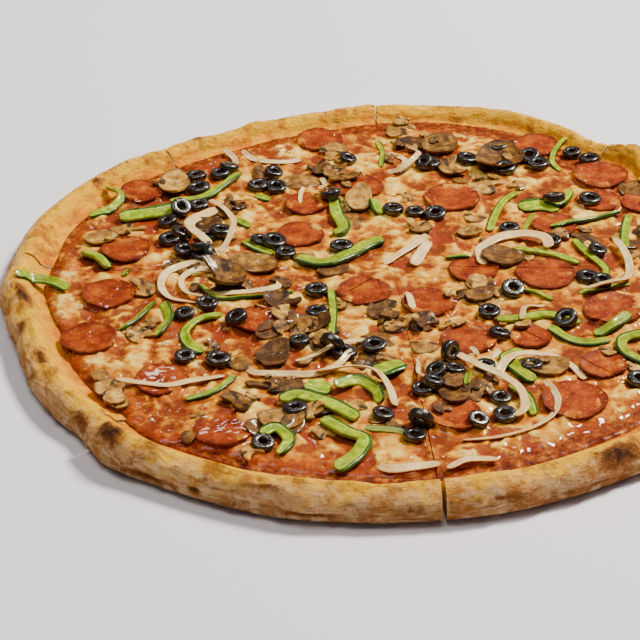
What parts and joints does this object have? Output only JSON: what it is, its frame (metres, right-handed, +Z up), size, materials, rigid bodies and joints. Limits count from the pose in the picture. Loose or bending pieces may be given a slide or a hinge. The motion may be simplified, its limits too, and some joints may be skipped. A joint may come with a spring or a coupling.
{
  "type": "pizza",
  "caption": "Round baked pizza, cut into slices that lie together, with a raised crust and a loaded top, made to lie flat and be served.",
  "frame": {"origin": "at the bottom, in the middle of the whole pizza's box", "axes": "+Z up through the layers, from the flat underside; +Y away from the side that the picture was taken from, +X to the right"},
  "size_m": [0.4691, 0.4748, 0.022],
  "materials": {
    "baked_dough": "baked wheat crust, floury and pale with brown patches, dry",
    "tomato_sauce": "cooked tomato sauce, moist",
    "melted_cheese": "melted cheese, oily, browned in places",
    "sausage": "sliced cured sausage, oily",
    "green_pepper": "roasted green pepper, glossy skin"
  },
  "bodies": {
    "root": {"cheese_1": "melted_cheese", "cheese_2": "melted_cheese", "cheese_3": "melted_cheese", "cheese_4": "melted_cheese", "cheese_5": "melted_cheese", "cheese_6": "melted_cheese", "cheese_7": "melted_cheese", "cheese_8": "melted_cheese", "dough_1": "baked_dough", "dough_2": "baked_dough", "dough_3": "baked_dough", "dough_4": "baked_dough", "dough_5": "baked_dough", "dough_6": "baked_dough", "dough_7": "baked_dough", "dough_8": "baked_dough", "pepper_over_rim": "green_pepper", "pepperoni_01": "sausage", "pepperoni_02": "sausage", "pepperoni_03": "sausage", "pepperoni_04": "sausage", "pepperoni_05": "sausage", "pepperoni_06": "sausage", "pepperoni_07": "sausage", "pepperoni_08": "sausage", "pepperoni_09": "sausage", "pepperoni_10": "sausage", "pepperoni_11": "sausage", "pepperoni_12": "sausage", "pepperoni_13a": "sausage", "pepperoni_13b": "sausage", "pepperoni_14": "sausage", "pepperoni_15a": "sausage", "pepperoni_15b": "sausage", "pepperoni_16a": "sausage", "pepperoni_16b": "sausage", "pepperoni_17": "sausage", "pepperoni_18a": "sausage", "pepperoni_18b": "sausage", "pepperoni_19": "sausage", "pepperoni_20": "sausage", "pepperoni_21": "sausage", "pepperoni_22": "sausage", "pepperoni_23": "sausage", "pepperoni_24": "sausage", "pepperoni_25": "sausage", "pepperoni_26a": "sausage", "pepperoni_26b": "sausage", "pepperoni_27": "sausage", "pepperoni_28": "sausage", "pepperoni_29": "sausage", "pepperoni_30": "sausage", "sauce_1": "tomato_sauce", "sauce_2": "tomato_sauce", "sauce_3": "tomato_sauce", "sauce_4": "tomato_sauce", "sauce_5": "tomato_sauce", "sauce_6": "tomato_sauce", "sauce_7": "tomato_sauce", "sauce_8": "tomato_sauce"}
  },
  "joints": []
}
